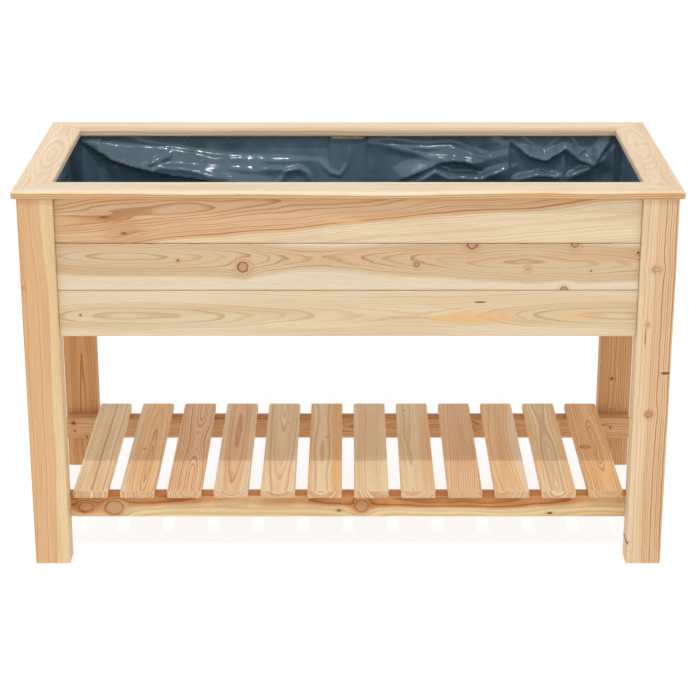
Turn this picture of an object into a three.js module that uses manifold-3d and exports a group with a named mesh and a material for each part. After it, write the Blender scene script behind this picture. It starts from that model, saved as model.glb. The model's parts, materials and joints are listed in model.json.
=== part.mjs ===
// Raised planter on legs. Four legs carry a boarded trough with a mitred rim on top and a slatted
// shelf below, and a film liner lies inside the trough.
// Millimetres, +Z up, +X along the length, the front faces -Y. The origin is on the floor under the
// middle of the planter.

import * as THREE from "three";
import { mergeVertices } from "three/addons/utils/BufferGeometryUtils.js";
import Module from "manifold-3d";

const wasm = await Module();
wasm.setup();

// Clearance between pieces that touch
const FIT = 0.3;

// Legs
const FRAME_LENGTH = 1234; // over the legs' outer faces, along X
const FRAME_DEPTH = 526; // over the legs' outer faces, along Y
const LEG_HEIGHT = 750;
const LEG_WIDTH = 68; // along X
const LEG_DEPTH = 48; // along Y

// Rim
const RIM_WIDTH = 68;
const RIM_THICKNESS = 16;
const RIM_OVERHANG = 8; // past the legs' outer faces

// Trough walls
const WALL_THICKNESS = 18;
const WALL_SETBACK = 10; // behind the legs' outer faces
const TOP_BOARD_HEIGHT = 89.5;
const BOARD_HEIGHT = 92; // middle and bottom boards
const BOARD_SEAM = 1;
const BATTEN_WIDTH = 70;
const BATTEN_THICKNESS = 18; // also of the corner cleats
const CLEAT_WIDTH = 28;

// Trough floor
const BEARER_WIDTH = 45;
const BEARER_HEIGHT = 32;
const BEARER_RISE = 6; // above the walls' lower edge
const FLOOR_THICKNESS = 17;
const FLOOR_BOARD_COUNT = 9; // between the left and right legs
const FLOOR_GAP = 8; // for drainage

// Liner
const LINER_THICKNESS = 1.2;
const LINER_CLEARANCE = 0.5;
const LINER_DROP = 8; // its edge below the leg tops
const CLEAT_DROP = 7; // the cleats' tops below the liner's edge

// Shelf
const SHELF_RAIL_TOP = 124.5;
const RAIL_HEIGHT = 46;
const RAIL_THICKNESS = 32;
const RAIL_INSET = 3.5; // ends behind the legs' outer faces
const SLAT_COUNT = 12;
const SLAT_WIDTH = 68;
const SLAT_THICKNESS = 17;
const SLAT_OVERHANG = 15; // past the rails
const SLAT_SIDE_GAP = 6.25; // from the outer slats to the legs

// Coach screws that hold the rails to the legs
const SHANK_RADIUS = 4;
const SCREW_COVER = 10; // wood left in front of the tip
const SCREW_TIP = 6;
const WASHER_RADIUS = 11;
const WASHER_THICKNESS = 1.5;
const HEAD_RADIUS = 7.5; // over the corners of the hexagon
const HEAD_HEIGHT = 5.2;
const HOLE_SPARE = 2; // depth of the hole past the tip
const ROUND_SIDES = 16; // flat sides of a shank, washer or hole

// Edge rounding: the long edges' radii and how far the ends are eased
const LEG_ROUND = 3;
const RIM_ROUND = 4;
const BOARD_ROUND = 2;
const RAIL_ROUND = 3;
const SLAT_ROUND = 4;
const END_EASE = 1;
const SLAT_EASE = 3;
const FINE = { arc: 2, ease: END_EASE, easeSteps: 1 };
const PLAIN = { arc: 1, ease: END_EASE, easeSteps: 1 };
const SLAT_END = { arc: 2, ease: SLAT_EASE, easeSteps: 2 };

// Levels and inner faces that follow from the sizes above
const halfLength = FRAME_LENGTH / 2;
const halfDepth = FRAME_DEPTH / 2;
const legInnerX = halfLength - LEG_WIDTH;
const legInnerY = halfDepth - LEG_DEPTH;
const wallInnerX = halfLength - WALL_SETBACK - WALL_THICKNESS;
const wallInnerY = halfDepth - WALL_SETBACK - WALL_THICKNESS;
const battenInnerY = wallInnerY - FIT - BATTEN_THICKNESS;
const boards = boardLevels();
const bearerBottom = boards.bottom.low + BEARER_RISE;
const bearerTop = bearerBottom + BEARER_HEIGHT;
const floorTop = bearerTop + FIT + FLOOR_THICKNESS;
const linerTop = LEG_HEIGHT - LINER_DROP;
const railMiddle = SHELF_RAIL_TOP - RAIL_HEIGHT / 2;
const screwLength = LEG_DEPTH + FIT + RAIL_THICKNESS - SCREW_COVER;

const SIDES = { left: -1, right: 1 };
const ENDS = { front: -1, back: 1 };

function timber(colour) {
  return new THREE.MeshStandardMaterial({ color: colour, roughness: 0.62, metalness: 0 });
}

const materials = {
  leg: timber(0xdcb283),
  rim: timber(0xead5b8),
  wall: timber(0xdabd96),
  rail: timber(0xcb9f70),
  slat: timber(0xd9b28a),
  inner: timber(0xc9a87e),
  film: new THREE.MeshStandardMaterial({ color: 0x50636f, roughness: 0.22, metalness: 0 }),
  steel: new THREE.MeshStandardMaterial({ color: 0xb4b6b8, roughness: 0.35, metalness: 1 }),
};

// The low and high edge of each wall board, from the top one down.
function boardLevels() {
  const levels = {};
  let high = LEG_HEIGHT;
  for (const row of ["top", "middle", "bottom"]) {
    const low = high - (row === "top" ? TOP_BOARD_HEIGHT : BOARD_HEIGHT);
    levels[row] = { low, high };
    high = low - BOARD_SEAM;
  }
  return levels;
}

function roundedRectangle(width, height, radius) {
  const x = width / 2 - radius;
  const y = height / 2 - radius;
  const shape = new THREE.Shape();
  shape.absarc(x, y, radius, 0, Math.PI / 2);
  shape.absarc(-x, y, radius, Math.PI / 2, Math.PI);
  shape.absarc(-x, -y, radius, Math.PI, Math.PI * 1.5);
  shape.absarc(x, -y, radius, Math.PI * 1.5, Math.PI * 2);
  return shape;
}

// Turns a geometry made along Z so that it runs along the named axis.
const ALONG = {
  x: new THREE.Matrix4().set(0, 0, 1, 0, 1, 0, 0, 0, 0, 1, 0, 0, 0, 0, 0, 1),
  y: new THREE.Matrix4().set(0, 1, 0, 0, 0, 0, 1, 0, 1, 0, 0, 0, 0, 0, 0, 1),
  z: new THREE.Matrix4(),
};

// A planed piece centred on the origin: its long edges are rounded and its ends eased.
function timberGeometry(size, along, radius, finish) {
  const [x, y, z] = size;
  const section = { x: [y, z, x], y: [z, x, y], z: [x, y, z] }[along];
  const [width, height, length] = section;
  const geometry = new THREE.ExtrudeGeometry(roundedRectangle(width, height, radius), {
    depth: length - 2 * finish.ease,
    bevelThickness: finish.ease,
    bevelSize: finish.ease,
    bevelOffset: -finish.ease,
    bevelSegments: finish.easeSteps,
    curveSegments: finish.arc,
  });
  geometry.translate(0, 0, finish.ease - length / 2);
  geometry.applyMatrix4(ALONG[along]);
  return geometry;
}

function toSolid(geometry) {
  const bare = geometry.clone();
  bare.deleteAttribute("normal");
  bare.deleteAttribute("uv");
  const merged = mergeVertices(bare);
  return new wasm.Manifold(
    new wasm.Mesh({
      numProp: 3,
      vertProperties: merged.attributes.position.array,
      triVerts: new Uint32Array(merged.index.array),
    }),
  );
}

function toGeometry(solid) {
  const mesh = solid.getMesh();
  const geometry = new THREE.BufferGeometry();
  geometry.setAttribute("position", new THREE.BufferAttribute(mesh.vertProperties, 3));
  geometry.setIndex(new THREE.BufferAttribute(mesh.triVerts, 1));
  geometry.computeVertexNormals();
  return geometry;
}

function place(name, geometry, material, x, y, z) {
  const mesh = new THREE.Mesh(geometry, material);
  mesh.name = name;
  mesh.position.set(x, y, z);
  return mesh;
}

// Fills the box between two numbers on each axis with one planed piece.
function timberBetween(name, material, along, radius, finish, [x0, x1], [y0, y1], [z0, z1]) {
  const geometry = timberGeometry([x1 - x0, y1 - y0, z1 - z0], along, radius, finish);
  return place(name, geometry, material, (x0 + x1) / 2, (y0 + y1) / 2, (z0 + z1) / 2);
}

// Two numbers on the side of the middle that the sign gives, lowest first.
function mirrored(sign, inner, outer) {
  return sign < 0 ? [-outer, -inner] : [inner, outer];
}

// Where the washer of a coach screw sits, front to back. All four are driven towards the front:
// through the rail into a front leg, or through a back leg into the rail.
function screwSeat(end) {
  return end === "front" ? -legInnerY + FIT + RAIL_THICKNESS : halfDepth;
}

// A plain bore for the shank, along Y, with the seat at y = 0.
function boreSolid() {
  const depth = screwLength + HOLE_SPARE;
  const radius = SHANK_RADIUS + FIT;
  const bore = new THREE.CylinderGeometry(radius, radius, depth + HOLE_SPARE, ROUND_SIDES);
  bore.translate(0, (HOLE_SPARE - depth) / 2, 0);
  return toSolid(bore);
}

function screwGeometry() {
  const profile = [
    new THREE.Vector2(0, -screwLength),
    new THREE.Vector2(SHANK_RADIUS, SCREW_TIP - screwLength),
    new THREE.Vector2(SHANK_RADIUS, FIT),
    new THREE.Vector2(WASHER_RADIUS, FIT),
    new THREE.Vector2(WASHER_RADIUS, FIT + WASHER_THICKNESS),
    new THREE.Vector2(0, FIT + WASHER_THICKNESS),
  ];
  const shank = new THREE.LatheGeometry(profile, ROUND_SIDES);
  const sink = WASHER_THICKNESS / 2;
  const head = new THREE.CylinderGeometry(HEAD_RADIUS, HEAD_RADIUS, HEAD_HEIGHT + sink, 6);
  head.translate(0, FIT + WASHER_THICKNESS + (HEAD_HEIGHT - sink) / 2, 0);
  return toGeometry(toSolid(shank).add(toSolid(head)));
}

function legs() {
  const group = new THREE.Group();
  const bore = boreSolid();
  for (const [end, endSign] of Object.entries(ENDS)) {
    for (const [side, sideSign] of Object.entries(SIDES)) {
      const y = endSign * (halfDepth - LEG_DEPTH / 2);
      const size = [LEG_WIDTH, LEG_DEPTH, LEG_HEIGHT];
      const blank = toSolid(timberGeometry(size, "z", LEG_ROUND, FINE));
      const cut = bore.translate([0, screwSeat(end) - y, railMiddle - LEG_HEIGHT / 2]);
      const geometry = toGeometry(blank.subtract(cut));
      const x = sideSign * (halfLength - LEG_WIDTH / 2);
      group.add(place(`leg_${end}_${side}`, geometry, materials.leg, x, y, LEG_HEIGHT / 2));
    }
  }
  return group;
}

function walls() {
  const group = new THREE.Group();
  const spanX = [FIT - legInnerX, legInnerX - FIT];
  const spanY = [FIT - legInnerY, legInnerY - FIT];
  for (const [row, { low, high }] of Object.entries(boards)) {
    const z = [low, high];
    for (const [end, sign] of Object.entries(ENDS)) {
      const y = mirrored(sign, wallInnerY, wallInnerY + WALL_THICKNESS);
      const name = `${end}_board_${row}`;
      group.add(timberBetween(name, materials.wall, "x", BOARD_ROUND, FINE, spanX, y, z));
    }
    for (const [side, sign] of Object.entries(SIDES)) {
      const x = mirrored(sign, wallInnerX, wallInnerX + WALL_THICKNESS);
      const name = `${side}_board_${row}`;
      group.add(timberBetween(name, materials.wall, "y", BOARD_ROUND, FINE, x, spanY, z));
    }
  }
  return group;
}

// Upright battens that hold the three boards of each long wall together: one in the middle and a
// narrower cleat against each leg.
function battens() {
  const group = new THREE.Group();
  const bottom = floorTop + FIT;
  for (const [end, endSign] of Object.entries(ENDS)) {
    const y = mirrored(endSign, battenInnerY, wallInnerY - FIT);
    const middle = [-BATTEN_WIDTH / 2, BATTEN_WIDTH / 2];
    const z = [bottom, LEG_HEIGHT];
    group.add(
      timberBetween(`batten_${end}`, materials.inner, "z", BOARD_ROUND, PLAIN, middle, y, z),
    );
    for (const [side, sideSign] of Object.entries(SIDES)) {
      const x = mirrored(sideSign, legInnerX - FIT - CLEAT_WIDTH, legInnerX - FIT);
      const cleatZ = [bottom, linerTop - CLEAT_DROP];
      const name = `corner_cleat_${end}_${side}`;
      group.add(timberBetween(name, materials.inner, "z", BOARD_ROUND, PLAIN, x, y, cleatZ));
    }
  }
  return group;
}

function bearers() {
  const group = new THREE.Group();
  const z = [bearerBottom, bearerTop];
  for (const [end, sign] of Object.entries(ENDS)) {
    const x = [FIT - legInnerX, legInnerX - FIT];
    const y = mirrored(sign, wallInnerY - FIT - BEARER_WIDTH, wallInnerY - FIT);
    const name = `floor_bearer_${end}`;
    group.add(timberBetween(name, materials.inner, "x", BOARD_ROUND, PLAIN, x, y, z));
  }
  for (const [side, sign] of Object.entries(SIDES)) {
    const x = mirrored(sign, wallInnerX - FIT - BEARER_WIDTH, wallInnerX - FIT);
    const end = Math.min(legInnerY, wallInnerY - BEARER_WIDTH) - 2 * FIT;
    const name = `floor_bearer_${side}`;
    group.add(timberBetween(name, materials.inner, "y", BOARD_ROUND, PLAIN, x, [-end, end], z));
  }
  return group;
}

// Floor boards lie front to back on the bearers. The first and the last stand between two legs.
function floorBoards() {
  const group = new THREE.Group();
  const z = [bearerTop + FIT, floorTop];
  const span = 2 * (legInnerX - FIT);
  const pitch = (span + FLOOR_GAP) / FLOOR_BOARD_COUNT;
  for (let i = 0; i < FLOOR_BOARD_COUNT; i += 1) {
    const x0 = FIT - legInnerX + i * pitch;
    const x = [x0, x0 + pitch - FLOOR_GAP];
    const y = [FIT - battenInnerY, battenInnerY - FIT];
    const name = `floor_board_${i + 1}`;
    group.add(timberBetween(name, materials.inner, "y", BOARD_ROUND, PLAIN, x, y, z));
  }
  for (const [side, sign] of Object.entries(SIDES)) {
    const x = mirrored(sign, legInnerX + FIT, wallInnerX - FIT);
    const y = [FIT - legInnerY, legInnerY - FIT];
    const name = `floor_board_end_${side}`;
    group.add(timberBetween(name, materials.inner, "y", BOARD_ROUND, PLAIN, x, y, z));
  }
  return group;
}

// One mitred rim board, centred, with its outer edge towards -Y.
function rimGeometry(length) {
  const blank = toSolid(timberGeometry([length, RIM_WIDTH, RIM_THICKNESS], "x", RIM_ROUND, FINE));
  const beyond = RIM_WIDTH;
  const reach = RIM_WIDTH / 2 + beyond / 2;
  const mitreX = length / 2 - RIM_WIDTH / 2 - FIT / Math.SQRT2;
  const outline = new THREE.Shape([
    new THREE.Vector2(mitreX + reach, -reach),
    new THREE.Vector2(length / 2 + beyond, -reach),
    new THREE.Vector2(length / 2 + beyond, reach),
    new THREE.Vector2(mitreX - reach, reach),
  ]);
  const wedge = new THREE.ExtrudeGeometry(outline, { depth: 2 * beyond, bevelEnabled: false });
  wedge.translate(0, 0, -beyond);
  const cut = toSolid(wedge);
  return toGeometry(blank.subtract(cut).subtract(cut.mirror([1, 0, 0])));
}

function rim() {
  const group = new THREE.Group();
  const x = halfLength + RIM_OVERHANG - RIM_WIDTH / 2;
  const y = halfDepth + RIM_OVERHANG - RIM_WIDTH / 2;
  const z = LEG_HEIGHT + FIT + RIM_THICKNESS / 2;
  const long = rimGeometry(FRAME_LENGTH + 2 * RIM_OVERHANG);
  const short = rimGeometry(FRAME_DEPTH + 2 * RIM_OVERHANG);
  const members = [
    place("rim_front", long, materials.rim, 0, -y, z),
    place("rim_right", short, materials.rim, x, 0, z),
    place("rim_back", long, materials.rim, 0, y, z),
    place("rim_left", short, materials.rim, -x, 0, z),
  ];
  members.forEach((member, quarter) => {
    member.rotation.z = (quarter * Math.PI) / 2;
    group.add(member);
  });
  return group;
}

// Outline of the trough's inner faces, moved inwards by the inset: it steps in at the legs, the
// corner cleats and the battens.
function troughOutline(inset) {
  const quarter = [
    [wallInnerX - inset, legInnerY - inset],
    [legInnerX - inset, legInnerY - inset],
    [legInnerX - FIT - CLEAT_WIDTH - inset, battenInnerY - inset],
    [legInnerX - FIT - CLEAT_WIDTH - inset, wallInnerY - inset],
    [BATTEN_WIDTH / 2 + inset, wallInnerY - inset],
    [BATTEN_WIDTH / 2 + inset, battenInnerY - inset],
  ];
  const back = [...quarter, ...quarter.map(([x, y]) => [-x, y]).reverse()];
  const front = back.map(([x, y]) => [-x, -y]);
  return [...back, ...front].map(([x, y]) => new THREE.Vector2(x, y));
}

// The liner as an open tray that follows the trough's inner faces.
function liner() {
  const shape = new THREE.Shape(troughOutline(LINER_CLEARANCE));
  const sheet = new THREE.ExtrudeGeometry(shape, { depth: LINER_THICKNESS, bevelEnabled: false });
  const ring = shape.clone();
  ring.holes.push(new THREE.Path(troughOutline(LINER_CLEARANCE + LINER_THICKNESS)));
  const bottom = floorTop + LINER_CLEARANCE;
  const skirt = new THREE.ExtrudeGeometry(ring, { depth: linerTop - bottom, bevelEnabled: false });
  return place("liner", toGeometry(toSolid(sheet).add(toSolid(skirt))), materials.film, 0, 0, bottom);
}

function shelfRails() {
  const group = new THREE.Group();
  const bore = boreSolid();
  for (const [end, sign] of Object.entries(ENDS)) {
    const y = sign * (legInnerY - FIT - RAIL_THICKNESS / 2);
    const size = [FRAME_LENGTH - 2 * RAIL_INSET, RAIL_THICKNESS, RAIL_HEIGHT];
    let solid = toSolid(timberGeometry(size, "x", RAIL_ROUND, FINE));
    for (const sideSign of Object.values(SIDES)) {
      const x = sideSign * (halfLength - LEG_WIDTH / 2);
      solid = solid.subtract(bore.translate([x, screwSeat(end) - y, 0]));
    }
    group.add(place(`shelf_rail_${end}`, toGeometry(solid), materials.rail, 0, y, railMiddle));
  }
  return group;
}

function shelfSlats() {
  const group = new THREE.Group();
  const length = 2 * (legInnerY - FIT + SLAT_OVERHANG);
  const size = [SLAT_WIDTH, length, SLAT_THICKNESS];
  const geometry = timberGeometry(size, "y", SLAT_ROUND, SLAT_END);
  const first = SLAT_SIDE_GAP + SLAT_WIDTH / 2 - legInnerX;
  const pitch = (-2 * first) / (SLAT_COUNT - 1);
  const z = SHELF_RAIL_TOP + FIT + SLAT_THICKNESS / 2;
  for (let i = 0; i < SLAT_COUNT; i += 1) {
    const name = `shelf_slat_${i + 1}`;
    group.add(place(name, geometry, materials.slat, first + i * pitch, 0, z));
  }
  return group;
}

function coachScrews() {
  const group = new THREE.Group();
  const geometry = screwGeometry();
  for (const end of Object.keys(ENDS)) {
    for (const [side, sign] of Object.entries(SIDES)) {
      const x = sign * (halfLength - LEG_WIDTH / 2);
      const name = `rail_screw_${end}_${side}`;
      group.add(place(name, geometry, materials.steel, x, screwSeat(end), railMiddle));
    }
  }
  return group;
}

const planter = new THREE.Group();
planter.add(
  legs(),
  walls(),
  battens(),
  bearers(),
  floorBoards(),
  rim(),
  liner(),
  shelfRails(),
  shelfSlats(),
  coachScrews(),
);

export default planter;
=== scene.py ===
"""Looks of the raised planter on legs: camera, light, softwood, the film liner and its small fastenings.

Metres, +Z up, the front faces -Y, as in the frame. Values of a board's grain are in millimetres.
"""

import json
import math
import random
from dataclasses import dataclass

import bmesh
import bpy
import numpy as np
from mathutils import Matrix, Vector, noise


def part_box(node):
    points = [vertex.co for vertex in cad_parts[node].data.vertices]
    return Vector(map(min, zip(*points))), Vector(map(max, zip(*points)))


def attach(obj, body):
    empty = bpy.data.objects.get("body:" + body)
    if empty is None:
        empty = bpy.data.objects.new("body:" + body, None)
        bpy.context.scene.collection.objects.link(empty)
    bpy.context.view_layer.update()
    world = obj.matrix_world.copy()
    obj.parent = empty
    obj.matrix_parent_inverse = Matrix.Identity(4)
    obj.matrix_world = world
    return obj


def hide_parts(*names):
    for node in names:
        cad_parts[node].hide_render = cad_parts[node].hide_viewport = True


MM = 0.001
SEED = 20

# Camera: a long lens in front of the planter, looking down on it
CAMERA_DISTANCE = 3.7076
CAMERA_HEIGHT = 1.7398
CAMERA_PITCH = math.radians(18.395)
LENS = 99.82
SHIFT_Y = -0.10

# Light: a white surround that is brighter near the horizon, a key sun from the front and above, and a weak
# sun from each side for the glints on the film
SURROUND_LOW = 1.30
SURROUND_HIGH = 0.66
KEY_STRENGTH = 0.80
KEY_ELEVATION = math.radians(63)
SIDE_STRENGTH = 0.09
SIDE_ELEVATION = math.radians(48)
SIDE_TURN = math.radians(52)
SUN_ANGLE = math.radians(1.2)  # how wide each sun is
FLOOR_SIZE = 60.0
FLOOR_TONE = 0.25
FLOOR_GLOW = 0.80  # a lit white table, so that little shadow is left on it


def srgb(red, green, blue):
    """A colour given as 0 to 255 on screen, as the linear values that Blender works in."""

    def linear(value):
        share = value / 255
        return share / 12.92 if share <= 0.04045 else ((share + 0.055) / 1.055) ** 2.4

    return (linear(red), linear(green), linear(blue), 1.0)


class Graph:
    """Adds nodes to a material or the world. Each value is a number, a tuple or another node's output."""

    def __init__(self, owner):
        self.tree = owner.node_tree

    def put(self, socket, value):
        if isinstance(value, bpy.types.NodeSocket):
            self.tree.links.new(value, socket)
        else:
            socket.default_value = value

    def node(self, kind, inputs, **settings):
        made = self.tree.nodes.new(kind)
        for name, value in settings.items():
            setattr(made, name, value)
        for key, value in inputs.items():
            self.put(made.inputs[key], value)
        return made

    def math(self, operation, *values):
        inputs = dict(enumerate(values))
        return self.node("ShaderNodeMath", inputs, operation=operation).outputs[0]

    def vector(self, operation, *values):
        made = self.node("ShaderNodeVectorMath", dict(enumerate(values)), operation=operation)
        return made.outputs["Value" if operation == "LENGTH" else "Vector"]

    def split(self, vector):
        return self.node("ShaderNodeSeparateXYZ", {0: vector}).outputs

    def join(self, x, y, z):
        return self.node("ShaderNodeCombineXYZ", {0: x, 1: y, 2: z}).outputs[0]

    def fade(self, value, start, end, low=0.0, high=1.0):
        """low where value is below start, high where it is above end, and smooth in between."""
        inputs = {0: value, 1: start, 2: end, 3: low, 4: high}
        made = self.node("ShaderNodeMapRange", inputs, interpolation_type="SMOOTHSTEP")
        return made.outputs[0]

    def noise(self, vector, scale, detail=2.0, roughness=0.5):
        inputs = {"Vector": vector, "Scale": scale, "Detail": detail, "Roughness": roughness}
        return self.node("ShaderNodeTexNoise", inputs).outputs["Fac"]

    def mix(self, factor, a, b, blend="MIX"):
        inputs = {0: factor, 6: a, 7: b}
        made = self.node("ShaderNodeMix", inputs, data_type="RGBA", blend_type=blend)
        return made.outputs[2]

    def tint(self, colour, factor, tint):
        return self.mix(factor, colour, tint, "MULTIPLY")


def new_material(name):
    material = bpy.data.materials.new(name)
    material.use_nodes = True
    shader = material.node_tree.nodes["Principled BSDF"]
    return material, Graph(material), shader


def add_object(name, data):
    made = bpy.data.objects.new(name, data)
    bpy.context.scene.collection.objects.link(made)
    return made


def mesh_of(built, name):
    """A mesh with the built faces, which are then let go."""
    mesh = bpy.data.meshes.new(name)
    built.to_mesh(mesh)
    built.free()
    return mesh


def cover(mesh, material):
    """Makes this the mesh's only material."""
    mesh.materials.clear()
    mesh.materials.append(material)


# Wood tones
PALE = srgb(235, 219, 192)
CREAM = srgb(231, 208, 172)
BEIGE = srgb(225, 194, 156)
TAN = srgb(219, 182, 139)
ORANGE = srgb(228, 181, 130)
BROWN = srgb(203, 154, 107)
LATE_TINT = srgb(206, 172, 136)  # tints are multiplied over the wood
BROAD_TINT = srgb(243, 226, 205)
FIBRE_TINT = srgb(224, 203, 178)
HALO_TINT = srgb(224, 178, 134)
KNOT_CORE = srgb(190, 148, 110)
KNOT_RIM = srgb(84, 46, 24)
KNOT_EDGE = srgb(140, 88, 50)
KNOT_RING = srgb(164, 116, 76)
RESIN = srgb(217, 172, 116)
END_LIGHT = srgb(196, 154, 110)
END_DARK = srgb(178, 134, 92)
END_LINE = srgb(238, 216, 186)

KNOT_REACH = 1.35  # within so many radii of a knot, a place takes the rings of the knot's middle line
FLAT_MARKS = ("slit", "stain")  # the rings don't flow round these, and they have no halo
# Marks of one colour: the distance up to which it is full and from which it is gone, its strength, the colour
SPOTS = {
    "stain": (0.5, 1.1, 0.72, RESIN),
    "slit": (0.5, 1.0, 0.85, KNOT_RIM),
    "eye": (0.1, 0.5, 0.75, KNOT_RIM),
    "pin": (0.55, 1.0, 0.9, KNOT_RIM),
}
BOW_PLACE = 500  # mm from a board's middle, where its bow is given


@dataclass
class Knot:
    """A mark on a board's wide face, placed from its middle: along, across, and half its size.

    Kinds: ring (a knot with a dark edge), tight (a knot grown into the wood), curl (only its outline), and
    the spots eye, pin, slit and stain.
    """

    along: float
    across: float
    radius: float
    kind: str = "ring"
    stretch: float = 1.0  # how much longer it is along the board than across


@dataclass
class Board:
    """How one piece was cut from its log. The rings lie round the pith, the log's middle line."""

    heart: tuple = BEIGE
    sap: tuple = PALE
    pith_across: float = 0.0  # from the board's middle
    pith_depth: float = 24.0
    slope_across: float = 0.0  # mm per mm along the board
    slope_depth: float = 0.0
    bow: float = 0.0  # mm at BOW_PLACE
    wave: float = 0.0  # rise and fall of the pith's depth
    wave_length: float = 900.0
    wave_shift: float = 0.0
    ring: float = 3.4  # mean ring width
    waviness: float = 3.0
    sap_radius: float = 200.0  # distance from the pith to the sapwood
    line: float = 0.6  # strength of the ring lines
    knots: tuple = ()


def board_axes(node):
    """The axes along, across and through a board: its longest size first."""
    low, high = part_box(node)
    size = high - low
    return sorted(range(3), key=lambda axis: -size[axis])


def board_place(graph, node):
    """Millimetres along, across and through a board, from its middle."""
    low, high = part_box(node)
    order = board_axes(node)
    middle = [(low[axis] + high[axis]) / 2 for axis in order]
    world = graph.split(graph.node("ShaderNodeTexCoord", {}).outputs["Object"])
    turned = graph.join(*(world[axis] for axis in order))
    centred = graph.vector("SUBTRACT", turned, middle)
    return graph.vector("MULTIPLY", centred, (1 / MM,) * 3)


def pith_distance(graph, place, board):
    """Distance from the pith's line, which slopes, bows and waves along the board."""
    along, across, through = graph.split(place)
    bowed = graph.math("MULTIPLY", graph.math("MULTIPLY", along, along), board.bow / BOW_PLACE**2)
    slid = graph.math("MULTIPLY_ADD", along, board.slope_across, board.pith_across)
    turn = 2 * math.pi / board.wave_length
    angle = graph.math("MULTIPLY_ADD", along, turn, -turn * board.wave_shift)
    wave = graph.math("MULTIPLY", graph.math("COSINE", angle), board.wave)
    sunk = graph.math("MULTIPLY_ADD", along, board.slope_depth, board.pith_depth)
    side = graph.math("SUBTRACT", across, graph.math("ADD", slid, bowed))
    depth = graph.math("SUBTRACT", through, graph.math("ADD", sunk, wave))
    return graph.vector("LENGTH", graph.join(side, depth, 0.0))


def knot_distance(graph, place, knot):
    """1 at a knot's edge, less inside it. The outline is a little uneven."""
    moved = graph.vector("SUBTRACT", place, (knot.along, knot.across, 0.0))
    share = (1 / (knot.radius * knot.stretch), 1 / knot.radius, 0.0)
    distance = graph.vector("LENGTH", graph.vector("MULTIPLY", moved, share))
    uneven = graph.noise(graph.vector("MULTIPLY", moved, share), 1.3)
    return graph.math("MULTIPLY_ADD", graph.math("SUBTRACT", uneven, 0.5), 0.5, distance)


def round_knots(graph, place, knots, distances):
    """Draws the places near a knot towards its middle line, so that the rings flow round it."""
    for knot, distance in zip(knots, distances):
        if knot.kind in FLAT_MARKS:
            continue
        near = graph.math("POWER", graph.math("DIVIDE", KNOT_REACH, distance), 2.0)
        offset = graph.math("SUBTRACT", knot.across, graph.split(place)[1])
        moved = graph.math("MULTIPLY", offset, graph.math("MINIMUM", near, 1.0))
        place = graph.vector("ADD", place, graph.join(0.0, moved, 0.0))
    return place


def grain_noise(graph, place, along, across, detail=2.0, roughness=0.5):
    """Noise that is drawn out along the board: its spots' length and width in mm."""
    stretched = graph.vector("MULTIPLY", place, (1 / along, 1 / across, 1 / across))
    return graph.noise(stretched, 1.0, detail, roughness)


def ring_radius(graph, place, moved, board, distances):
    """The distance from the pith, made uneven, so that the rings wander and ripple."""
    radius = pith_distance(graph, round_knots(graph, place, board.knots, distances), board)
    wander = grain_noise(graph, moved, 260, 60, 1.0)
    radius = graph.math("MULTIPLY_ADD", wander, 2 * board.waviness, radius)
    ripple = grain_noise(graph, moved, 55, 14)
    return graph.math("MULTIPLY_ADD", ripple, 2.2, radius)


def late_wood(graph, radius, board, seed):
    """The dark line at the end of each year's ring, 0 to 1. Its strength differs from year to year."""
    drift = graph.noise(graph.join(radius, seed * 7.0, 0.0), 0.07, 1.0)
    rings = graph.math("MULTIPLY_ADD", drift, 3.0, graph.math("DIVIDE", radius, board.ring))
    share = graph.math("FRACT", rings)
    rise = graph.fade(share, max(0.7 - 0.05 * board.ring, 0.25), 0.91)
    fall = graph.fade(share, 0.94, 1.0, 1.0, 0.0)
    year = graph.math("FLOOR", rings)
    chance = graph.node("ShaderNodeTexWhiteNoise", {"W": year}, noise_dimensions="1D").outputs["Value"]
    strength = graph.fade(chance, 0.0, 1.0, 0.3, 1.0)
    return graph.math("MULTIPLY", graph.math("MULTIPLY", rise, fall), strength)


def end_grain(graph, node, moved, late, colour):
    """The sawn ends of the board: darker, with pores, and the ring lines are pale."""
    normal = graph.node("ShaderNodeNewGeometry", {}).outputs["Normal"]
    facing = graph.split(normal)[board_axes(node)[0]]
    end = graph.fade(graph.math("ABSOLUTE", facing), 0.55, 0.85)
    pores = grain_noise(graph, moved, 2.5, 1 / 1.1)
    cut = graph.mix(graph.fade(pores, 0.35, 0.65), END_LIGHT, END_DARK)
    cut = graph.mix(graph.math("MULTIPLY", late, 0.8), cut, END_LINE)
    return graph.mix(graph.math("MULTIPLY", end, 0.85), colour, cut)


def knot_core(graph, distance):
    """The colour inside a knot, with its own rings."""
    growth = graph.math("FRACT", graph.math("MULTIPLY", distance, 3.0))
    return graph.mix(graph.fade(growth, 0.3, 1.0, 0.0, 0.7), KNOT_CORE, KNOT_RING)


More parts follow.
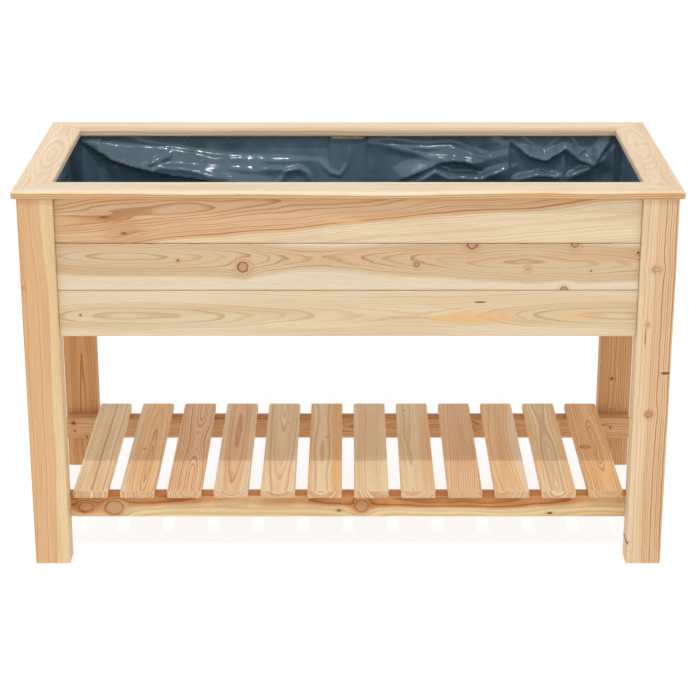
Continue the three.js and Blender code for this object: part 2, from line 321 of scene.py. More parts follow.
def add_mark(graph, colour, hollow, knot, distance):
    """The board's colour and its hollows with one mark added."""
    if knot.kind not in FLAT_MARKS:
        colour = graph.tint(colour, graph.fade(distance, 0.8, 3.0, 0.36, 0.0), HALO_TINT)
    if knot.kind in SPOTS:
        inner, outer, strength, tone = SPOTS[knot.kind]
        return graph.mix(graph.fade(distance, inner, outer, strength, 0.0), colour, tone), hollow
    if knot.kind == "ring":
        colour = graph.mix(graph.fade(distance, 0.85, 1.0, 1.0, 0.0), colour, knot_core(graph, distance))
        outer = graph.fade(distance, 0.98, 1.16, 1.0, 0.0)
        edge = graph.math("MULTIPLY", outer, graph.fade(distance, 0.72, 0.95))
        colour = graph.mix(graph.math("MULTIPLY", edge, 0.85), colour, KNOT_RIM)
        return colour, graph.math("ADD", graph.math("MULTIPLY", edge, 0.6), hollow)
    if knot.kind == "tight":
        colour = graph.mix(graph.fade(distance, 0.8, 1.1, 0.7, 0.0), colour, knot_core(graph, distance))
    outer = graph.fade(distance, 0.99, 1.2, 0.7, 0.0)
    outline = graph.math("MULTIPLY", graph.fade(distance, 0.8, 0.97), outer)
    return graph.mix(outline, colour, KNOT_EDGE), hollow


def wood_material(node, board, seed):
    material, graph, shader = new_material(f"wood_{node}")
    place = board_place(graph, node)
    moved = graph.vector("ADD", place, (seed * 913.0, seed * 377.0, seed * 151.0))
    distances = [knot_distance(graph, place, knot) for knot in board.knots]
    radius = ring_radius(graph, place, moved, board, distances)
    late = late_wood(graph, radius, board, seed)
    sap = graph.fade(radius, board.sap_radius - 2.5, board.sap_radius + 2.5)
    broad = grain_noise(graph, moved, 420, 26)
    fibre = grain_noise(graph, moved, 34, 0.9, 3.0, 0.6)
    lines = graph.math("MULTIPLY", late, graph.fade(sap, 0.0, 1.0, board.line, board.line * 0.55))

    colour = graph.mix(sap, board.heart, board.sap)
    colour = graph.tint(colour, graph.fade(broad, 0.38, 0.72, 0.0, 0.55), BROAD_TINT)
    colour = graph.tint(colour, lines, LATE_TINT)
    colour = graph.tint(colour, graph.fade(fibre, 0.35, 0.75, 0.0, 0.34), FIBRE_TINT)
    hollow = 0.0
    for knot, distance in zip(board.knots, distances):
        colour, hollow = add_mark(graph, colour, hollow, knot, distance)
    colour = end_grain(graph, node, moved, late, colour)

    graph.put(shader.inputs["Base Color"], colour)
    graph.put(shader.inputs["Roughness"], graph.fade(late, 0.0, 1.0, 0.62, 0.48))
    shader.inputs["Specular IOR Level"].default_value = 0.25
    height = graph.math("MULTIPLY_ADD", late, 0.5, graph.math("MULTIPLY", fibre, 0.8))
    height = graph.math("SUBTRACT", height, hollow)
    bump = graph.node("ShaderNodeBump", {"Height": height, "Strength": 0.35, "Distance": 0.4 * MM})
    graph.put(shader.inputs["Normal"], bump.outputs[0])
    return material


# The boards that are seen from the front, each with the grain that it has
WALL_BOARDS = {
    "front_board_top": Board(
        heart=srgb(211, 176, 138),
        sap=srgb(222, 204, 173),
        pith_across=50,
        pith_depth=13,
        slope_across=0.085,
        ring=5.0,
        waviness=13,
        sap_radius=76,
        line=1.0,
        knots=(Knot(-420, -26, 9, "eye", 2.4), Knot(-455, 6, 6, "eye", 5.0), Knot(-10, 0, 5, "stain", 9.0)),
    ),
    "front_board_middle": Board(
        heart=srgb(206, 181, 148),
        sap=srgb(219, 204, 178),
        pith_across=14,
        pith_depth=16,
        slope_across=-0.016,
        wave=-9,
        wave_length=760,
        wave_shift=350,
        ring=2.7,
        waviness=6,
        sap_radius=48,
        line=0.75,
        knots=(
            Knot(-320, 13, 2.6, "pin", 1.2),
            Knot(-198, 0, 10, "ring"),
            Knot(129, 5, 5, "ring"),
            Knot(233, 45, 9, "ring"),
            Knot(339, -4, 5, "eye"),
            Knot(426, 46, 7, "ring"),
            Knot(458, -8, 2, "pin"),
            Knot(545, 28, 3, "pin"),
            Knot(408, -46, 7, "ring"),
        ),
    ),
    "front_board_bottom": Board(
        heart=srgb(211, 191, 159),
        sap=srgb(218, 200, 170),
        pith_across=-4,
        pith_depth=20,
        wave=-9,
        wave_length=900,
        wave_shift=-380,
        ring=3.2,
        waviness=6,
        sap_radius=40,
        line=0.65,
        knots=(
            Knot(-508, -3, 2.4, "pin"),
            Knot(236, -7, 15, "stain", 6.4),
            Knot(250, 23, 2.2, "slit", 7.0),
            Knot(440, -4, 6, "stain", 9.0),
        ),
    ),
}
LEGS = {
    "leg_front_left": Board(
        heart=srgb(213, 174, 130),
        sap=srgb(220, 197, 155),
        pith_across=-62,
        pith_depth=10,
        bow=-12,
        ring=3.2,
        waviness=7,
        sap_radius=93,
        line=0.7,
        knots=(Knot(200, -30, 3, "eye"),),
    ),
    "leg_front_right": Board(
        heart=srgb(214, 184, 148),
        sap=srgb(222, 199, 165),
        pith_across=74,
        pith_depth=12,
        bow=8,
        ring=4.4,
        waviness=4,
        sap_radius=96,
        line=1.3,
        knots=(
            Knot(237, -3, 6, "curl", 0.8),
            Knot(100, -18, 1.2, "slit", 20.0),
            Knot(126, -15, 4, "eye"),
            Knot(28, 24, 12, "slit", 0.3),
            Knot(-57, -4, 6, "curl", 0.9),
            Knot(-330, -34, 3, "pin"),
        ),
    ),
    "leg_back_left": Board(
        heart=srgb(202, 154, 104),
        sap=srgb(218, 184, 138),
        pith_across=4,
        pith_depth=-16,
        slope_depth=0.02,
        ring=4.6,
        waviness=6,
        sap_radius=60,
        line=0.95,
        knots=(Knot(-20, -22, 5, "tight"),),
    ),
    "leg_back_right": Board(
        heart=srgb(202, 159, 113),
        sap=srgb(218, 184, 142),
        pith_across=80,
        pith_depth=-14,
        ring=5.4,
        waviness=4,
        sap_radius=150,
        line=1.0,
        knots=(Knot(-170, -8, 4, "pin"), Knot(-260, 26, 6, "tight")),
    ),
}
RAILS = {
    "shelf_rail_front": Board(
        heart=srgb(196, 141, 86),
        sap=srgb(221, 197, 155),
        pith_across=13,
        pith_depth=5,
        wave=5,
        wave_length=760,
        wave_shift=-190,
        ring=6.5,
        waviness=10,
        sap_radius=36,
        line=1.0,
        knots=(
            Knot(-520, -1, 9, "tight", 1.6),
            Knot(-464, -3, 14, "tight", 1.3),
            Knot(27, 1, 12, "tight", 1.1),
            Knot(-18, -9, 2.5, "pin", 2.0),
            Knot(401, -15, 3, "pin", 2.2),
        ),
    ),
    "shelf_rail_back": Board(
        heart=srgb(208, 166, 122),
        sap=srgb(220, 190, 150),
        pith_across=6,
        pith_depth=-8,
        wave=6,
        wave_length=420,
        ring=5.2,
        waviness=8,
        sap_radius=60,
        line=0.9,
        knots=(
            Knot(-598, 12, 4, "pin"),
            Knot(-596, -6, 3, "pin"),
            Knot(-570, -20, 3, "pin"),
            Knot(260, 0, 12, "tight"),
            Knot(572, 2, 3, "pin"),
        ),
    ),
}


def slat(heart, sap, across, depth, ring, line, **more):
    """A board of the shelf, with the values that every slat has in order."""
    return Board(heart=heart, sap=sap, pith_across=across, pith_depth=depth, ring=ring, line=line, **more)


STRAW = srgb(234, 213, 178)
HONEY = srgb(234, 200, 154)
ROSE = srgb(231, 197, 158)
AMBER = srgb(233, 191, 140)
SLATS = (
    slat(STRAW, PALE, -80, 8, 6.0, 0.8, waviness=3),
    slat(HONEY, CREAM, 10, 13, 6.0, 0.9, slope_depth=0.05, sap_radius=34, knots=(Knot(-22, -6, 3.2, "pin"),)),
    slat(ROSE, STRAW, 9, 15, 5.2, 1.0, wave=-9, wave_length=420, wave_shift=-190,
         knots=(Knot(60, 6, 2, "eye"),)),
    slat(ROSE, STRAW, 0, 12, 7.5, 0.8, slope_depth=-0.06, sap_radius=27),
    slat(STRAW, PALE, 2, 20, 6.0, 0.6, slope_depth=-0.05, knots=(Knot(120, 12, 1.6, "pin"),)),
    slat(STRAW, AMBER, -6, 15, 9.0, 0.6, waviness=8, sap_radius=30, knots=(Knot(40, 4, 3, "eye"),)),
    slat(STRAW, PALE, 30, 30, 9.0, 0.35, waviness=5),
    slat(STRAW, HONEY, -12, 24, 10.0, 0.5, waviness=9, sap_radius=46, knots=(Knot(188, -18, 2.2, "pin"),)),
    slat(ROSE, STRAW, 40, 9, 4.0, 1.0, slope_across=0.03, waviness=4),
    slat(HONEY, PALE, -34, 12, 6.0, 0.6, bow=60, sap_radius=52),
    slat(STRAW, HONEY, -2, 13, 10.0, 0.65, wave=-9, wave_length=460, wave_shift=-120, sap_radius=30),
    slat(AMBER, HONEY, 6, 12, 5.6, 1.0, wave=-7, wave_length=380, knots=(Knot(-12, -16, 9, "tight", 0.7),)),
)
RIM_BOARDS = {
    "rim_front": Board(
        heart=srgb(211, 175, 127),
        sap=PALE,
        pith_across=-34,
        pith_depth=-42,
        ring=5.0,
        waviness=7,
        sap_radius=53,
        line=1.5,
    ),
    "rim_back": Board(
        heart=srgb(225, 203, 174),
        sap=PALE,
        pith_across=-44,
        pith_depth=-38,
        ring=4.6,
        waviness=6,
        sap_radius=60,
        line=0.8,
    ),
    "rim_left": Board(
        heart=srgb(236, 216, 188),
        sap=PALE,
        pith_across=4,
        pith_depth=-22,
        wave=8,
        wave_length=420,
        ring=5.0,
        waviness=6,
        sap_radius=60,
        line=0.35,
    ),
    "rim_right": Board(
        heart=srgb(230, 207, 176),
        sap=PALE,
        pith_across=-6,
        pith_depth=-24,
        wave=8,
        wave_length=520,
        wave_shift=90,
        ring=5.0,
        waviness=6,
        sap_radius=60,
        line=0.35,
        knots=(Knot(80, 10, 4, "eye"),),
    ),
}
SEEN_BOARDS = {**WALL_BOARDS, **LEGS, **RAILS, **RIM_BOARDS}
SEEN_BOARDS.update({f"shelf_slat_{number}": board for number, board in enumerate(SLATS, 1)})


def random_board(draw, heart, sap):
    """A board whose grain is left to chance, for the pieces that the front view doesn't show well."""
    return Board(
        heart=heart,
        sap=sap,
        pith_across=draw.uniform(-40, 40),
        pith_depth=draw.choice((-1, 1)) * draw.uniform(12, 34),
        slope_across=draw.uniform(-0.02, 0.02),
        slope_depth=draw.uniform(-0.02, 0.02),
        wave=draw.uniform(0, 8),
        wave_length=draw.uniform(500, 1100),
        wave_shift=draw.uniform(-300, 300),
        ring=draw.uniform(3.2, 5.0),
        waviness=draw.uniform(3, 7),
        sap_radius=draw.uniform(40, 75),
        line=draw.uniform(0.55, 0.8),
    )


WOOD_TONES = {
    "leg": (ORANGE, CREAM),
    "rim": (CREAM, PALE),
    "front": (BEIGE, CREAM),
    "back": (TAN, CREAM),
    "left": (TAN, CREAM),
    "right": (BEIGE, CREAM),
    "shelf_rail": (BROWN, BEIGE),
    "shelf_slat": (TAN, CREAM),
    "batten": (BEIGE, CREAM),
    "corner_cleat": (TAN, BEIGE),
    "floor": (TAN, CREAM),
}


def give_wood(frame, draw):
    parts = [part for part in frame["record"]["subparts"] if part["material_slot"].endswith("wood")]
    for seed, part in enumerate(parts, 1):
        name = part["node"]
        key = next(key for key in WOOD_TONES if name.startswith(key))
        chance = random_board(draw, *WOOD_TONES[key])
        board = SEEN_BOARDS.get(name, chance)
        cover(frame["nodes"][name].data, wood_material(name, board, seed))


def smoothing_group():
    """Joins the faces of a CAD mesh, so that its rounded edges can shade smoothly."""
    group = bpy.data.node_groups.new("joined_and_smooth", "GeometryNodeTree")
    group.interface.new_socket("Geometry", in_out="INPUT", socket_type="NodeSocketGeometry")
    group.interface.new_socket("Geometry", in_out="OUTPUT", socket_type="NodeSocketGeometry")
    start = group.nodes.new("NodeGroupInput")
    merge = group.nodes.new("GeometryNodeMergeByDistance")
    merge.inputs["Distance"].default_value = 0.01 * MM
    smooth = group.nodes.new("GeometryNodeSetShadeSmooth")
    end = group.nodes.new("NodeGroupOutput")
    group.links.new(start.outputs[0], merge.inputs[0])
    group.links.new(merge.outputs[0], smooth.inputs[0])
    group.links.new(smooth.outputs[0], end.inputs[0])
    return group


def smooth_edges(frame):
    group = smoothing_group()
    for node in frame["nodes"].values():
        joined = node.modifiers.new("joined", "NODES")
        joined.node_group = group
        weighted = node.modifiers.new("weighted", "WEIGHTED_NORMAL")
        weighted.weight = 80


# Fastenings
SCREW_RADIUS = 4.5 * MM
SCREW_SIDES = 20
SCREW_STAND = 0.8 * MM  # how far a head stands out of the wood
CROSS_ARM = 0.56 * SCREW_RADIUS  # from the middle of its cross to an arm's end
CROSS_HALF = 0.13 * SCREW_RADIUS  # half of an arm's width
CROSS_DEPTH = 0.85 * SCREW_STAND
STAPLE_WIDTH = 11 * MM
STAPLE_WIRE = 0.9 * MM
STAPLE_LEG = 6 * MM
STAPLE_DROP = 4 * MM  # from the film's top edge
STAPLE_PITCH = 84 * MM
STAPLES_EACH_SIDE = 2  # of the middle of an end wall

# Film liner: a sheet pushed down into the trough, stapled under the rim, with spare length that lies in folds
FILM_GRID = 7.5 * MM
FILM_GAP = 1.0 * MM  # from the film to the legs' inner faces
FILM_RECESS = 7.5 * MM  # it lies this much nearer to the long walls between the battens and the cleats
FILM_TOP = 1.0 * MM  # from its top edge to the rim
FILM_STEP = 7.0 * MM  # on the battens its staples are this much lower, and its edge nearly as much
FILM_SPARE = 0.012  # share by which the film is longer than the trough
FILM_FRAMES = 30
NEAR = 1e-6
RECESS_CLEAR = 4 * MM  # from a batten or cleat to where the film starts to go back
RECESS_RAMP = 2 * MM  # length over which it goes back

# Small creases: their size in m, a seed and their height in mm. Each wall has a share of that height
CREASES = ((0.11, 2, 9), (0.045, 5, 3))
BACK_CREASES = 0.25
FRONT_CREASES = 1.3
END_CREASES = 1.8
FLOOR_CREASES = 0.9
CREASE_EDGE = 20 * MM  # they fade out over this height below the top edge

# Large folds
FILM_TAUT = 70 * MM  # the settled film is pulled flat at its edge, and less so down to this height below it
TAUT_REACH = 30 * MM  # if it lies this near to a long wall
FOLD_REACH = 70 * MM  # a fold moves the film that lies this near to the wall
FOLD_LIMIT = 46  # mm that folds together stand off the wall, at most
FOLD_EDGE = 10 * MM  # they fade out over this height below the top edge
FOLD_FOOT = 30 * MM  # and over this height above the floor
FOLD_TAPER = 0.18  # share of a fold's length over which it rises to its full height
FRONT_SHARE = 0.7  # the front wall has the same folds, turned round and this much as high


@dataclass
class Fold:
    """A ridge in the film on the back wall, in mm: its line as x and height, and how it stands off."""

    line: tuple
    rise: float
    above: float  # how far it reaches over its line, or to the right of an upright one
    below: float


BACK_FOLDS = (
    # The long swag from the left corner, with an undercut below it
    Fold(((-551, 737), (-498, 705), (-439, 684), (-389, 673), (-255, 655), (-130, 640)), 30, 56, 9),
    # Long creases on the sheet above the swag
    Fold(((-553, 739), (-364, 719), (-280, 703), (-58, 694)), 6, 9, 24),
    Fold(((-368, 688), (-175, 679), (-87, 680)), 5, 8, 14),
    # A blister and the bright crease under it
    Fold(((-420, 691), (-398, 697), (-370, 706)), 7, 8, 6),
    Fold(((-416, 696), (-392, 706), (-366, 714)), 6, 8, 6),
    Fold(((-416, 679), (-393, 688), (-347, 685), (-293, 672), (-238, 664)), 9, 10, 13),
    # A short hump that leans on the floor
    Fold(((-150, 640), (-130, 676), (-106, 682), (-84, 668), (-74, 640)), 9, 8, 13),
    # Creases that run over the batten
    Fold(((-58, 694), (-39, 673), (-16, 666), (0, 690), (5, 728)), 6, 6, 8),
    # Right of the batten: two creases that meet, and a dark hollow under an arch
    Fold(((42, 732), (94, 730), (164, 723), (214, 727), (298, 701), (334, 712)), 8, 10, 24),
    Fold(((81, 728), (164, 706), (238, 701), (300, 690)), 6, 8, 14),
    Fold(((100, 652), (151, 675), (190, 693), (220, 699), (255, 693), (285, 678)), 19, 30, 8),
    Fold(((132, 645), (183, 676), (212, 662), (281, 661), (298, 670), (335, 681)), 20, 13, 30),
    # Upright folds
    Fold(((337, 748), (337, 645)), 8, 4, 46),
    Fold(((455, 724), (455, 660)), 8, 4, 26),
    # Two scallops in the right corner, and the sheet under them
    Fold(((342, 738), (380, 708), (415, 698), (455, 726), (484, 699), (511, 690), (546, 736)), 21, 22, 8),
    Fold(((456, 662), (511, 684), (546, 716)), 17, 7, 34),
    Fold(((343, 655), (400, 668), (452, 661)), 15, 9, 22),
    Fold(((480, 712), (496, 720), (512, 712), (500, 706)), 5, 5, 5),
)


def ramp(value, length):
    """0 up to a value of 0, 1 from that length on."""
    return np.clip(value / length, 0, 1)


def points_of(mesh):
    return np.array([vertex.co for vertex in mesh.vertices])


def move_points(mesh, at):
    mesh.vertices.foreach_set("co", at.astype(np.float32).ravel())


def fold_rise(fold, x, height):
    """How far one fold lifts the points of the back wall off it, in mm."""
    nearest = np.full(x.shape, np.inf)
    over = np.zeros(x.shape, bool)
    along = np.zeros(x.shape)
    points = np.array(fold.line, float)
    lengths = np.linalg.norm(np.diff(points, axis=0), axis=1)
    before = 0.0
    for start, end, length in zip(points[:-1], points[1:], lengths):
        step = (end - start) / length
        run = np.clip((x - start[0]) * step[0] + (height - start[1]) * step[1], 0, length)
        away = np.hypot(x - start[0] - run * step[0], height - start[1] - run * step[1])
        closer = away < nearest
        side = step[0] * (height - start[1]) - step[1] * (x - start[0])
        nearest = np.where(closer, away, nearest)
        over = np.where(closer, side * np.sign(step[0] or 1) > 0, over)
        along = np.where(closer, before + run, along)
        before += length
    width = np.where(over, fold.above, fold.below)
    near = np.clip(1 - nearest / width, 0, 1)
    taper = np.clip(np.minimum(along, before - along) / (FOLD_TAPER * before) + 0.2, 0, 1)
    return fold.rise * near**1.2 * taper


def crumple(points, size, seed):
    """Ridged noise at the points, 0 to about 1, for creases of that size."""
    offset = Vector((seed * 3.7, seed * 1.3, seed * 8.1))
    values = [1 - 2 * abs(noise.noise(Vector(point) / size + offset)) for point in points]
    return np.clip(values, 0, 1) ** 2


def film_grid():
    """The liner as an open box of square cells, before it is creased, and its corners (low, high)."""
    low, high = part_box("liner")
    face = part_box("leg_back_right")[0].y - FILM_GAP
    low = Vector((low.x, -face, low.z))
    high = Vector((high.x, face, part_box("rim_back")[0].z - FILM_TOP))
    built = bmesh.new()
    counts = [round((high[axis] - low[axis]) / FILM_GRID) for axis in range(3)]

    def sheet(first, second, fixed, at):
        size = (high[first] - low[first], high[second] - low[second])
        rows = []
        for i in range(counts[first] + 1):
            row = []
            for j in range(counts[second] + 1):
                point = [0.0, 0.0, 0.0]
                point[first] = low[first] + size[0] * i / counts[first]
                point[second] = low[second] + size[1] * j / counts[second]
                point[fixed] = at
                row.append(built.verts.new(point))
            rows.append(row)
        for a, b in zip(rows[:-1], rows[1:]):
            for j in range(counts[second]):
                built.faces.new((a[j], b[j], b[j + 1], a[j + 1]))

    sheet(0, 1, 2, low.z)
    for at in (low.y, high.y):
        sheet(0, 2, 1, at)
    for at in (low.x, high.x):
        sheet(1, 2, 0, at)
    bmesh.ops.remove_doubles(built, verts=built.verts, dist=FILM_GRID / 10)
    bmesh.ops.recalc_face_normals(built, faces=built.faces)
    bmesh.ops.reverse_faces(built, faces=built.faces)
    return mesh_of(built, "film_liner"), low, high


def batten_edge():
    """How far from the middle the film lies in front of a batten."""
    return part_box("batten_back")[1].x + RECESS_CLEAR


def recess(x):
    """How much nearer to the wall the film lies at x: not at all at the battens and the corners."""
    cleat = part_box("corner_cleat_back_right")[0].x - RECESS_CLEAR
    across = np.abs(x)
    return FILM_RECESS * ramp(across - batten_edge(), RECESS_RAMP) * ramp(cleat - across, RECESS_RAMP)


def crumple_film(mesh, low, high):
    """Lays the film against the walls with small creases, and gives the points of its top edge."""
    at = points_of(mesh)
    top = at[:, 2] > high.z - FILM_GRID / 4
    edge = ramp(high.z - at[:, 2], CREASE_EDGE)
    creases = sum(crumple(at, size, seed) * height for size, seed, height in CREASES)
    back = np.abs(at[:, 1] - high.y) < NEAR
    front = np.abs(at[:, 1] - low.y) < NEAR
    left = np.abs(at[:, 0] - low.x) < NEAR
    right = np.abs(at[:, 0] - high.x) < NEAR
    floor = np.abs(at[:, 2] - low.z) < NEAR
    inward = (
        (back, 1, -1, creases * edge * BACK_CREASES),
        (front, 1, 1, creases * edge * FRONT_CREASES),
        (left, 0, 1, creases * edge * END_CREASES),
        (right, 0, -1, creases * edge * END_CREASES),
        (floor, 2, 1, creases * FLOOR_CREASES),
    )
    for wall, axis, sign, off in inward:
        at[wall, axis] += sign * off[wall] * MM
    walls = at[:, 2] > low.z + FILM_GRID / 2
    depth = recess(at[:, 0])
    at[back & walls, 1] += depth[back & walls]
    at[front & walls, 1] -= depth[front & walls]
    on_batten = (back | front) & top & (np.abs(at[:, 0]) <= batten_edge())
    at[on_batten, 2] -= FILM_STEP - FILM_GRID / 8
    move_points(mesh, at)
    return np.flatnonzero(top)


def fold_film(mesh, low, high):
    """Presses the folds of the back wall into the settled film, and lower ones into the front wall."""
    at = points_of(mesh)
    taut = np.clip(1 - (high.z - at[:, 2]) / FILM_TAUT, 0, 1)
    plane = np.sign(at[:, 1]) * (high.y + recess(at[:, 0]))
    long_walls = np.abs(at[:, 1]) > high.y - TAUT_REACH
    at[long_walls, 1] += (taut * (plane - at[:, 1]))[long_walls]
    x, _, height = (at / MM).T
    edge = ramp(high.z - at[:, 2], FOLD_EDGE)
    foot = ramp(at[:, 2] - low.z, FOLD_FOOT)
    for side, share in ((1, 1.0), (-1, FRONT_SHARE)):
        folds = np.minimum(sum(fold_rise(fold, side * x, height) for fold in BACK_FOLDS), FOLD_LIMIT)
        wall = side * at[:, 1] > high.y - FOLD_REACH
        at[wall, 1] -= side * (folds * share * edge * foot)[wall] * MM
    move_points(mesh, at)


def former(low, high):
    """An open box a little larger than the film, for it to lie against."""
    gap = Vector((FILM_GAP, FILM_GAP + FILM_RECESS, FILM_GAP))
    built = bmesh.new()
    bmesh.ops.create_cube(built, size=1)
    size = high - low + 2 * gap
    middle = (low + high) / 2
    for vertex in built.verts:
        vertex.co = Vector(a * b for a, b in zip(vertex.co, size)) + middle
    top = [face for face in built.faces if face.normal.z > 0.9]
    bmesh.ops.delete(built, geom=top, context="FACES")
    bmesh.ops.reverse_faces(built, faces=built.faces)
    box = add_object("former", mesh_of(built, "former"))
    collision = box.modifiers.new("collision", "COLLISION")
    collision.settings.thickness_outer = 1 * MM
    collision.settings.cloth_friction = 20
    return box


def applied(piece):
    """The piece's mesh with its modifiers, which are then taken off."""
    graph = bpy.context.evaluated_depsgraph_get()
    mesh = bpy.data.meshes.new_from_object(piece.evaluated_get(graph), depsgraph=graph)
    piece.modifiers.clear()
    return mesh


def settle(film, top, low, high):
    """Lets the film sag and buckle against the trough, and keeps the result as its mesh."""
    held = film.vertex_groups.new(name="held")
    held.add(top.tolist(), 1.0, "REPLACE")
    box = former(low, high)
    cloth = film.modifiers.new("cloth", "CLOTH")
    settings = cloth.settings
    settings.quality = 6
    settings.mass = 0.12
    settings.air_damping = 3
    settings.tension_stiffness = 25
    settings.compression_stiffness = 25
    settings.shear_stiffness = 12
    settings.bending_stiffness = 1.5
    settings.shrink_min = -FILM_SPARE
    settings.shrink_max = -FILM_SPARE
    settings.vertex_group_mass = "held"
    settings.effector_weights.gravity = 0.4
    cloth.collision_settings.distance_min = 1 * MM
    cloth.collision_settings.collision_quality = 3
    scene = bpy.context.scene
    cloth.point_cache.frame_end = FILM_FRAMES
    for frame_number in range(1, FILM_FRAMES + 1):
        scene.frame_set(frame_number)
    film.data = applied(film)
    scene.frame_set(1)
    bpy.data.objects.remove(box)


def keep_inside(mesh, low, high):
    """Keeps the film clear of the walls, battens, cleats and floor."""
    at = points_of(mesh)
    depth = recess(at[:, 0])
    at[:, 0] = np.clip(at[:, 0], low.x, high.x)
    at[:, 1] = np.clip(at[:, 1], low.y - depth, high.y + depth)
    at[:, 2] = np.clip(at[:, 2], low.z, high.z)
    move_points(mesh, at)


def film_material():
    material, graph, shader = new_material("film")
    place = graph.node("ShaderNodeTexCoord", {}).outputs["Object"]
    cloud = graph.noise(place, 5.0, 3.0)
    colour = graph.mix(graph.fade(cloud, 0.3, 0.7), srgb(70, 91, 104), srgb(91, 114, 127))
    graph.put(shader.inputs["Base Color"], colour)
    scuff = graph.noise(place, 22.0, 4.0, 0.6)
    graph.put(shader.inputs["Roughness"], graph.fade(scuff, 0.3, 0.75, 0.17, 0.29))
    fine = graph.noise(place, 60.0, 4.0, 0.6)
    bump = graph.node("ShaderNodeBump", {"Height": fine, "Strength": 0.1, "Distance": 0.6 * MM})
    graph.put(shader.inputs["Normal"], bump.outputs[0])
    return material


def make_film():
    mesh, low, high = film_grid()
    top = crumple_film(mesh, low, high)
    film = add_object("film_liner", mesh)
    settle(film, top, low, high)
    film.modifiers.new("finer", "SUBSURF").levels = 1
    film.data = applied(film)
    fold_film(film.data, low, high)
    keep_inside(film.data, low, high)
    film.data.polygons.foreach_set("use_smooth", [True] * len(film.data.polygons))
    film.data.materials.append(film_material())
    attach(film, "root")
    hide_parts("liner")


def steel_material():
    material, graph, shader = new_material("zinc_plated_steel")
    place = graph.node("ShaderNodeTexCoord", {}).outputs["Object"]
    patches = graph.noise(place, 400.0, 3.0, 0.6)
    tone = graph.mix(graph.fade(patches, 0.3, 0.7), srgb(158, 158, 154), srgb(196, 196, 190))
    graph.put(shader.inputs["Base Color"], tone)
    graph.put(shader.inputs["Roughness"], graph.fade(patches, 0.3, 0.7, 0.26, 0.44))
    shader.inputs["Metallic"].default_value = 1.0
    grain = graph.noise(place, 2500.0, 2.0)
    bump = graph.node("ShaderNodeBump", {"Height": grain, "Strength": 0.2, "Distance": 0.05 * MM})
    graph.put(shader.inputs["Normal"], bump.outputs[0])
    return material


def screw_head(built, centre):
    """Adds a flat head that faces down, with a cross-shaped recess in it."""
    turns = [2 * math.pi * number / SCREW_SIDES for number in range(SCREW_SIDES)]
    edge = [(SCREW_RADIUS * math.cos(turn), SCREW_RADIUS * math.sin(turn)) for turn in turns]
    corners = ((CROSS_ARM, -CROSS_HALF), (CROSS_ARM, CROSS_HALF), (CROSS_HALF, CROSS_HALF))
    cross = []
    for quarter in range(4):
        c, s = math.cos(quarter * math.pi / 2), math.sin(quarter * math.pi / 2)
        cross.extend((x * c - y * s, x * s + y * c) for x, y in corners)
    loops = []
    for outline in (edge, cross):
        points = [built.verts.new(centre + Vector((x, y, -SCREW_STAND))) for x, y in outline]
        loops.append([built.edges.new(pair) for pair in zip(points, points[1:] + points[:1])])
    bmesh.ops.triangle_fill(built, edges=loops[0] + loops[1], use_beauty=True)
    for loop, depth in zip(loops, (SCREW_STAND, CROSS_DEPTH)):
        grown = bmesh.ops.extrude_edge_only(built, edges=loop)["geom"]
        moved = [part for part in grown if isinstance(part, bmesh.types.BMVert)]
        bmesh.ops.translate(built, verts=moved, vec=(0, 0, depth))
        edges = [part for part in grown if isinstance(part, bmesh.types.BMEdge)]
        ring = [edge for edge in edges if all(end in moved for end in edge.verts)]
        bmesh.ops.edgeloop_fill(built, edges=ring)


def make_screws(steel):
    """The screws that hold the slats, seen under the shelf rails."""
    built = bmesh.new()
    for rail in ("shelf_rail_front", "shelf_rail_back"):
        low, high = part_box(rail)
        for number in range(1, len(SLATS) + 1):
            slat_low, slat_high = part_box(f"shelf_slat_{number}")
            screw_head(built, Vector(((slat_low.x + slat_high.x) / 2, (low.y + high.y) / 2, low.z)))
    bmesh.ops.recalc_face_normals(built, faces=built.faces)
    screws = add_object("slat_screws", mesh_of(built, "slat_screws"))
    screws.data.materials.append(steel)
    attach(screws, "root")


def staple_places():
    """Each staple's middle, the way along its back and the way into the wall."""
    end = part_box("liner")[1].x
    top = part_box("rim_back")[0].z - FILM_TOP - STAPLE_DROP
    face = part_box("leg_back_right")[0].y - FILM_GAP
    count = round(end / STAPLE_PITCH)
    for number in range(-count + 1, count):
        x = number * STAPLE_PITCH
        behind = recess(x)
        height = top - (FILM_STEP if behind == 0 else 0)
        for side in (-1, 1):
            yield Vector((x, side * (face + behind), height)), Vector((1, 0, 0)), Vector((0, side, 0))
    for number in range(-STAPLES_EACH_SIDE, STAPLES_EACH_SIDE + 1):
        for side in (-1, 1):
            place = Vector((side * end, number * STAPLE_PITCH, top))
            yield place, Vector((0, 1, 0)), Vector((side, 0, 0))


def make_staples(steel):
    curve = bpy.data.curves.new("liner_staples", "CURVE")
    curve.dimensions = "3D"
    curve.bevel_depth = STAPLE_WIRE / 2
    curve.bevel_resolution = 1
    curve.use_fill_caps = True
    half, corner = STAPLE_WIDTH / 2, STAPLE_WIRE
    left = ((-half, STAPLE_LEG), (-half, corner), (corner - half, 0))
    shape = left + tuple((-run, depth) for run, depth in reversed(left))
    for middle, along, into in staple_places():
        spline = curve.splines.new("POLY")
        spline.points.add(len(shape) - 1)
        for point, (run, depth) in zip(spline.points, shape):
            point.co = (*(middle + along * run + into * (depth - STAPLE_WIRE)), 1)
    staples = add_object("liner_staples", curve)
    curve.materials.append(steel)
    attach(staples, "root")


def give_steel(frame, steel):
    for part in frame["record"]["subparts"]:
        if part["material_slot"] == "screw_steel":
            cover(frame["nodes"][part["node"]].data, steel)


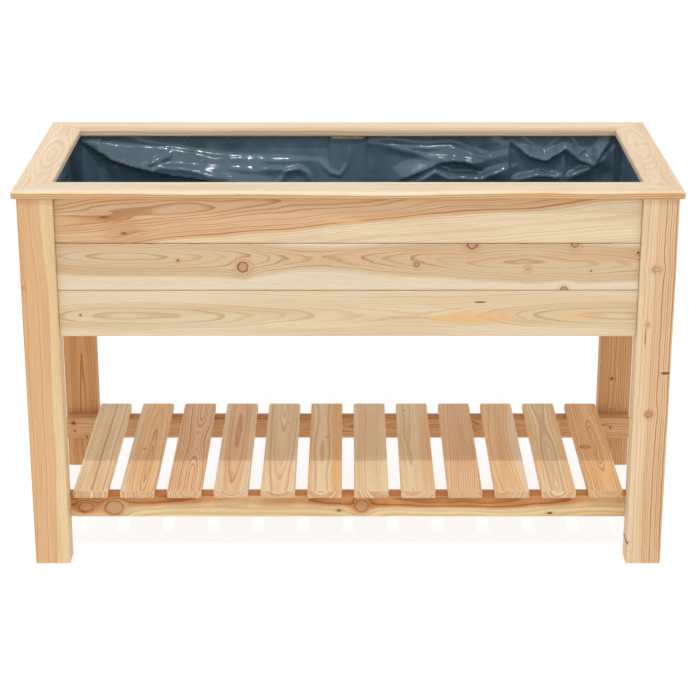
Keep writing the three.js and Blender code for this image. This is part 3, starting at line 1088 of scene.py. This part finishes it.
def make_camera():
    data = bpy.data.cameras.new("camera")
    data.lens = LENS
    data.shift_y = SHIFT_Y
    data.clip_end = 100
    camera = add_object("camera", data)
    camera.location = (0, -CAMERA_DISTANCE, CAMERA_HEIGHT)
    camera.rotation_euler = (math.pi / 2 - CAMERA_PITCH, 0, 0)
    bpy.context.scene.camera = camera


def add_sun(name, strength, elevation, turn):
    """A sun in front of the planter, turned to one side of it."""
    data = bpy.data.lights.new(name, "SUN")
    data.energy = strength
    data.angle = SUN_ANGLE
    add_object(name, data).rotation_euler = (math.pi / 2 - elevation, 0, turn)


def make_light():
    world = bpy.data.worlds.new("surround")
    world.use_nodes = True
    graph = Graph(world)
    direction = graph.split(graph.node("ShaderNodeTexCoord", {}).outputs["Generated"])
    background = world.node_tree.nodes["Background"]
    background.inputs["Color"].default_value = (1, 1, 1, 1)
    level = graph.fade(direction[2], 0.0, 1.0, SURROUND_LOW, SURROUND_HIGH)
    graph.put(background.inputs["Strength"], level)
    bpy.context.scene.world = world
    add_sun("key", KEY_STRENGTH, KEY_ELEVATION, 0.0)
    add_sun("side_left", SIDE_STRENGTH, SIDE_ELEVATION, -SIDE_TURN)
    add_sun("side_right", SIDE_STRENGTH, SIDE_ELEVATION, SIDE_TURN)


def make_floor():
    mesh = bpy.data.meshes.new("floor")
    half = FLOOR_SIZE / 2
    corners = [(-half, -half, 0), (half, -half, 0), (half, half, 0), (-half, half, 0)]
    mesh.from_pydata(corners, [], [(0, 1, 2, 3)])
    floor = add_object("floor", mesh)
    material, _, shader = new_material("studio_floor")
    shader.inputs["Base Color"].default_value = (FLOOR_TONE, FLOOR_TONE, FLOOR_TONE, 1)
    shader.inputs["Emission Color"].default_value = (1, 1, 1, 1)
    shader.inputs["Emission Strength"].default_value = FLOOR_GLOW
    shader.inputs["Roughness"].default_value = 0.9
    shader.inputs["Specular IOR Level"].default_value = 0.0
    mesh.materials.append(material)


def write_size():
    """Brings the placements of the scene up to date."""
    bpy.context.view_layer.update()


with open("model.json") as file:
    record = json.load(file)
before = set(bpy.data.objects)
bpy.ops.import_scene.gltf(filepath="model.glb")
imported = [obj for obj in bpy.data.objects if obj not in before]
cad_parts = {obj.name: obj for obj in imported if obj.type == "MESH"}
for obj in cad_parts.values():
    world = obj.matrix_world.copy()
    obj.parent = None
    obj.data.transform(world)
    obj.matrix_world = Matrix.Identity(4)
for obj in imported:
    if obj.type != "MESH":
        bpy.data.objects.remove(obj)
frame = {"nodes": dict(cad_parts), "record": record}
bpy.context.view_layer.update()
draw = random.Random(SEED)
bpy.context.scene.view_settings.view_transform = "Standard"
make_camera()
make_light()
make_floor()
give_wood(frame, draw)
smooth_edges(frame)
make_film()
steel = steel_material()
give_steel(frame, steel)
make_screws(steel)
make_staples(steel)
write_size()
